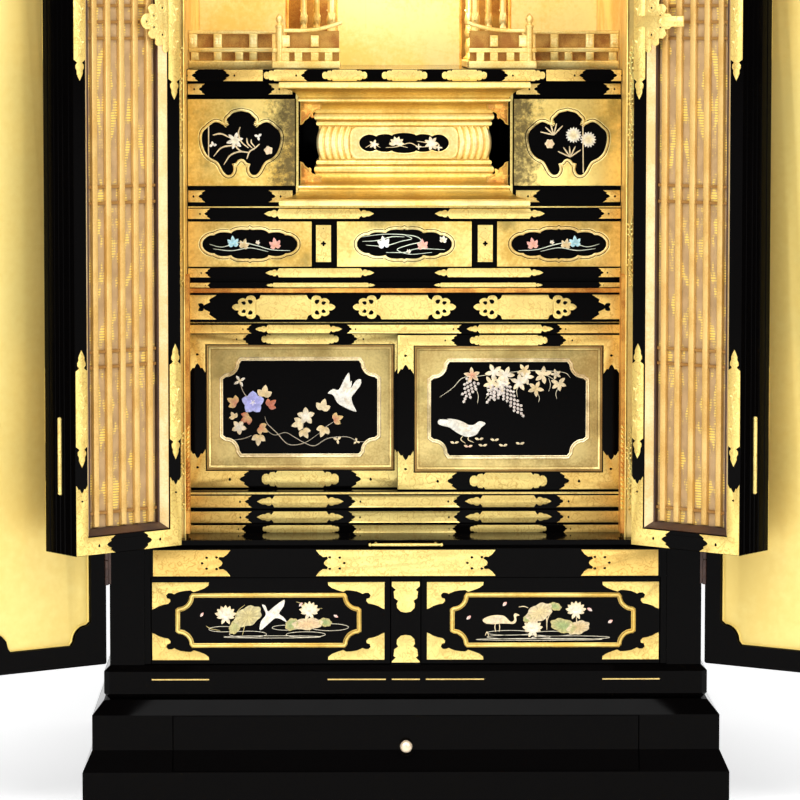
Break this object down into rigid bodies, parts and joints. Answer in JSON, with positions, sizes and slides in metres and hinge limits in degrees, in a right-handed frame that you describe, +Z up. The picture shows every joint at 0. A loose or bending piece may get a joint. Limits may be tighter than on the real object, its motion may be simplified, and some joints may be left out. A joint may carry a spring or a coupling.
{
  "type": "buddhist altar cabinet",
  "caption": "Standing black-lacquer and gold-leaf household altar cabinet with outer and latticed inner folding doors, sliding cupboard, drawers, tray and an inner shrine.",
  "frame": {"origin": "on the floor, under the middle of the plinth", "axes": "+Z up, -Y towards the front, +X to the right as seen from the front"},
  "size_m": [1.259, 0.6559, 1.68],
  "materials": {
    "black_lacquer": "polished black lacquer on wood, mirror gloss",
    "gold_leaf": "gold leaf on lacquered wood, soft metallic sheen",
    "brown_gilt": "deep orange-brown gilding, satin",
    "gold_plate": "gilt engraved brass fittings, satin",
    "gauze": "gilt lattice over woven gauze with golden dashes",
    "knob": "pale turned brass, satin"
  },
  "bodies": {
    "cabinet": {"altar_board": "black_lacquer", "altar_platform": "gold_leaf", "back_panel": "black_lacquer", "body_sill": "black_lacquer", "columns_left": "gold_leaf", "columns_right": "gold_leaf", "cornice": "black_lacquer", "cupboard_lintel": "black_lacquer", "cupboard_sill": "black_lacquer", "drawer_rail": "black_lacquer", "drawer_stile": "black_lacquer", "head_rail": "black_lacquer", "inner_wall_left": "gold_leaf", "inner_wall_right": "gold_leaf", "jamb_left": "brown_gilt", "jamb_right": "brown_gilt", "plinth": "black_lacquer", "post_left": "black_lacquer", "post_right": "black_lacquer", "railing_left": "gold_leaf", "railing_right": "gold_leaf", "shrine_back": "gold_leaf", "shrine_canopy": "gold_leaf", "shrine_floor": "black_lacquer", "side_case_left": "black_lacquer", "side_case_right": "black_lacquer", "side_wall_left": "black_lacquer", "side_wall_right": "black_lacquer", "small_stile_left": "black_lacquer", "small_stile_right": "black_lacquer", "transom": "gold_leaf"},
    "outer_left_first": {"outer_leaf_left_1": "black_lacquer"},
    "outer_left_second": {"outer_leaf_left_2": "black_lacquer"},
    "outer_right_first": {"outer_leaf_right_1": "black_lacquer"},
    "outer_right_second": {"outer_leaf_right_2": "black_lacquer"},
    "inner_left_first": {"inner_leaf_left_a": "black_lacquer", "inner_leaf_left_a_lattice": "gauze"},
    "inner_left_second": {"inner_leaf_left_b": "black_lacquer", "inner_leaf_left_b_lattice": "gauze"},
    "inner_right_first": {"inner_leaf_right_a": "black_lacquer", "inner_leaf_right_a_lattice": "gauze"},
    "inner_right_second": {"inner_leaf_right_b": "black_lacquer", "inner_leaf_right_b_lattice": "gauze"},
    "cupboard_door_left": {"cupboard_door_left": "black_lacquer", "cupboard_panel_left": "gold_leaf"},
    "cupboard_door_right": {"cupboard_door_right": "black_lacquer", "cupboard_panel_right": "gold_leaf"},
    "lower_drawer_left": {"lower_drawer_left": "black_lacquer", "lower_drawer_left_moulding": "gold_leaf"},
    "lower_drawer_right": {"lower_drawer_right": "black_lacquer", "lower_drawer_right_moulding": "gold_leaf"},
    "small_drawer_left": {"small_drawer_left": "gold_leaf"},
    "small_drawer_centre": {"small_drawer_centre": "gold_leaf"},
    "small_drawer_right": {"small_drawer_right": "gold_leaf"},
    "side_drawer_left": {"side_drawer_left": "gold_leaf"},
    "side_drawer_right": {"side_drawer_right": "gold_leaf"},
    "tray": {"tray": "black_lacquer", "tray_handle": "gold_plate"},
    "plinth_drawer": {"plinth_drawer": "black_lacquer", "plinth_knob": "knob"}
  },
  "joints": [
    {"name": "outer_left_swing", "type": "hinge", "parent": "cabinet", "child": "outer_left_first", "pos_m": [-0.3205, -0.2506, 0.1615], "axis": [0, 0, -1], "range_deg": [-147, 0]},
    {"name": "outer_left_fold", "type": "hinge", "parent": "outer_left_first", "child": "outer_left_second", "pos_m": [-0.47021, -0.31444, 0.1615], "axis": [0, 0, -1], "range_deg": [-33, 0]},
    {"name": "inner_left_swing", "type": "hinge", "parent": "cabinet", "child": "inner_left_first", "pos_m": [-0.2735, -0.247, 0.2955], "axis": [0, 0, -1], "range_deg": [-141, 0]},
    {"name": "inner_left_fold", "type": "hinge", "parent": "inner_left_first", "child": "inner_left_second", "pos_m": [-0.36205, -0.35447, 0.2955], "axis": [0, 0, 1], "range_deg": [-180, 0]},
    {"name": "cupboard_door_left_slide", "type": "slide", "parent": "cabinet", "child": "cupboard_door_left", "axis": [1, 0, 0], "range_m": [0, 0.225]},
    {"name": "outer_right_swing", "type": "hinge", "parent": "cabinet", "child": "outer_right_first", "pos_m": [0.3205, -0.2506, 0.1615], "axis": [0, 0, 1], "range_deg": [-147, 0]},
    {"name": "outer_right_fold", "type": "hinge", "parent": "outer_right_first", "child": "outer_right_second", "pos_m": [0.47021, -0.31444, 0.1615], "axis": [0, 0, 1], "range_deg": [-33, 0]},
    {"name": "inner_right_swing", "type": "hinge", "parent": "cabinet", "child": "inner_right_first", "pos_m": [0.2735, -0.247, 0.2955], "axis": [0, 0, 1], "range_deg": [-141, 0]},
    {"name": "inner_right_fold", "type": "hinge", "parent": "inner_right_first", "child": "inner_right_second", "pos_m": [0.36205, -0.35447, 0.2955], "axis": [0, 0, -1], "range_deg": [-180, 0]},
    {"name": "cupboard_door_right_slide", "type": "slide", "parent": "cabinet", "child": "cupboard_door_right", "axis": [-1, 0, 0], "range_m": [0, 0.225]},
    {"name": "lower_drawer_left_slide", "type": "slide", "parent": "cabinet", "child": "lower_drawer_left", "axis": [0, -1, 0], "range_m": [0, 0.34]},
    {"name": "lower_drawer_right_slide", "type": "slide", "parent": "cabinet", "child": "lower_drawer_right", "axis": [0, -1, 0], "range_m": [0, 0.34]},
    {"name": "small_drawer_left_slide", "type": "slide", "parent": "cabinet", "child": "small_drawer_left", "axis": [0, -1, 0], "range_m": [0, 0.17]},
    {"name": "small_drawer_centre_slide", "type": "slide", "parent": "cabinet", "child": "small_drawer_centre", "axis": [0, -1, 0], "range_m": [0, 0.17]},
    {"name": "small_drawer_right_slide", "type": "slide", "parent": "cabinet", "child": "small_drawer_right", "axis": [0, -1, 0], "range_m": [0, 0.17]},
    {"name": "side_drawer_left_slide", "type": "slide", "parent": "cabinet", "child": "side_drawer_left", "axis": [0, -1, 0], "range_m": [0, 0.18]},
    {"name": "side_drawer_right_slide", "type": "slide", "parent": "cabinet", "child": "side_drawer_right", "axis": [0, -1, 0], "range_m": [0, 0.18]},
    {"name": "tray_slide", "type": "slide", "parent": "cabinet", "child": "tray", "axis": [0, -1, 0], "range_m": [0, 0.24]},
    {"name": "plinth_drawer_slide", "type": "slide", "parent": "cabinet", "child": "plinth_drawer", "axis": [0, -1, 0], "range_m": [0, 0.38]}
  ],
  "couplings": [
    {"joint": "outer_left_fold", "follows": "outer_left_swing", "ratio": 0.22449},
    {"joint": "inner_left_swing", "follows": "outer_left_swing", "ratio": 0.95918},
    {"joint": "inner_left_fold", "follows": "outer_left_swing", "ratio": 1.2245},
    {"joint": "outer_right_fold", "follows": "outer_right_swing", "ratio": 0.22449},
    {"joint": "inner_right_swing", "follows": "outer_right_swing", "ratio": 0.95918},
    {"joint": "inner_right_fold", "follows": "outer_right_swing", "ratio": 1.2245}
  ]
}
